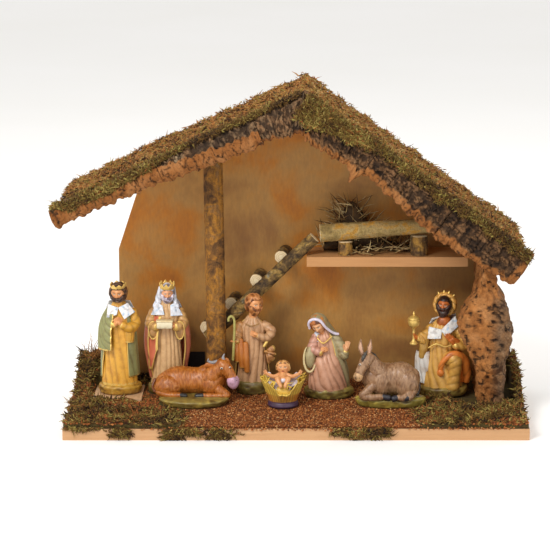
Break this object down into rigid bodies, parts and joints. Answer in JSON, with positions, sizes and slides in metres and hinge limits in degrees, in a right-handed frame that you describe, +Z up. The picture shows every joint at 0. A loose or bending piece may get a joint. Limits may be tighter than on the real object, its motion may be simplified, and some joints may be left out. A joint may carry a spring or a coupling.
{
  "type": "nativity scene",
  "caption": "Nativity stable of board, cork bark and branches with mossy roof, loft and stair, and loose painted figures of the holy family, kings, ox and donkey.",
  "frame": {"origin": "centre of the base board's underside, which rests on a table or shelf", "axes": "+X to the right along the roof, +Y to the back panel, +Z up; the open front looks along -Y"},
  "size_m": [0.4202, 0.17, 0.294],
  "materials": {
    "planed_board": "planed, unpainted",
    "panel_board": "stained and flamed, matt",
    "roof_board": "sawn, stained",
    "bark": "rough natural bark",
    "cork": "rough cork bark, stained",
    "branch": "round wood with its bark",
    "peeled_branch": "peeled round wood",
    "moss": "dried moss",
    "hay": "loose dried grass",
    "granulate": "loose bark crumbs, matt",
    "paint_ochre": "satin paint",
    "paint_coral": "satin paint",
    "paint_tan": "satin paint",
    "paint_olive": "satin paint",
    "paint_straw": "satin paint",
    "paint_rose": "satin paint",
    "paint_grey_brown": "satin paint",
    "paint_red_brown": "satin paint",
    "paint_gold_tan": "satin paint"
  },
  "bodies": {
    "stable": {"base_board": "planed_board", "back_panel": "panel_board", "ground_granulate": "granulate", "moss_left": "moss", "moss_right": "moss", "king_ledge": "planed_board", "cork_wall": "cork", "roof_board_left": "roof_board", "roof_moss_left": "moss", "bark_left_1": "bark", "bark_left_2": "bark", "bark_left_3": "bark", "roof_board_right": "roof_board", "roof_moss_right": "moss", "bark_right_1": "bark", "bark_right_2": "bark", "bark_right_3": "bark", "front_post": "branch", "loft_shelf": "planed_board", "stair_pole": "branch", "stair_step_1": "peeled_branch", "stair_step_2": "peeled_branch", "stair_step_3": "peeled_branch", "stair_step_4": "peeled_branch", "loft_rail": "peeled_branch", "loft_rail_post_1": "branch", "loft_rail_post_2": "branch", "loft_hay": "hay"},
    "king_with_folded_hands_body": {"king_with_folded_hands": "paint_ochre"},
    "king_with_casket_body": {"king_with_casket": "paint_coral"},
    "ox_body": {"ox": "paint_red_brown"},
    "father_body": {"father": "paint_tan", "father_staff": "paint_olive"},
    "infant_in_manger_body": {"infant_in_manger": "paint_straw"},
    "kneeling_mother_body": {"kneeling_mother": "paint_rose"},
    "donkey_body": {"donkey": "paint_grey_brown"},
    "kneeling_king_body": {"kneeling_king": "paint_gold_tan"}
  },
  "joints": [
    {"name": "lift_king_with_folded_hands", "type": "slide", "parent": "stable", "child": "king_with_folded_hands_body", "axis": [0, -0.3304, 0.9439], "range_m": [0, 0.08]},
    {"name": "lift_king_with_casket", "type": "slide", "parent": "stable", "child": "king_with_casket_body", "axis": [0, 0, 1], "range_m": [0, 0.08]},
    {"name": "lift_ox", "type": "slide", "parent": "stable", "child": "ox_body", "axis": [0, -0.5145, 0.8575], "range_m": [0, 0.08]},
    {"name": "lift_father", "type": "slide", "parent": "stable", "child": "father_body", "axis": [0, -0.4472, 0.8944], "range_m": [0, 0.08]},
    {"name": "lift_infant_in_manger", "type": "slide", "parent": "stable", "child": "infant_in_manger_body", "axis": [0, -0.6247, 0.7809], "range_m": [0, 0.08]},
    {"name": "lift_kneeling_mother", "type": "slide", "parent": "stable", "child": "kneeling_mother_body", "axis": [0.0447, -0.4468, 0.8935], "range_m": [0, 0.08]},
    {"name": "lift_donkey", "type": "slide", "parent": "stable", "child": "donkey_body", "axis": [0, -0.6247, 0.7809], "range_m": [0, 0.08]},
    {"name": "lift_kneeling_king", "type": "slide", "parent": "stable", "child": "kneeling_king_body", "axis": [-0.3137, -0.3137, 0.8962], "range_m": [0, 0.08]}
  ]
}
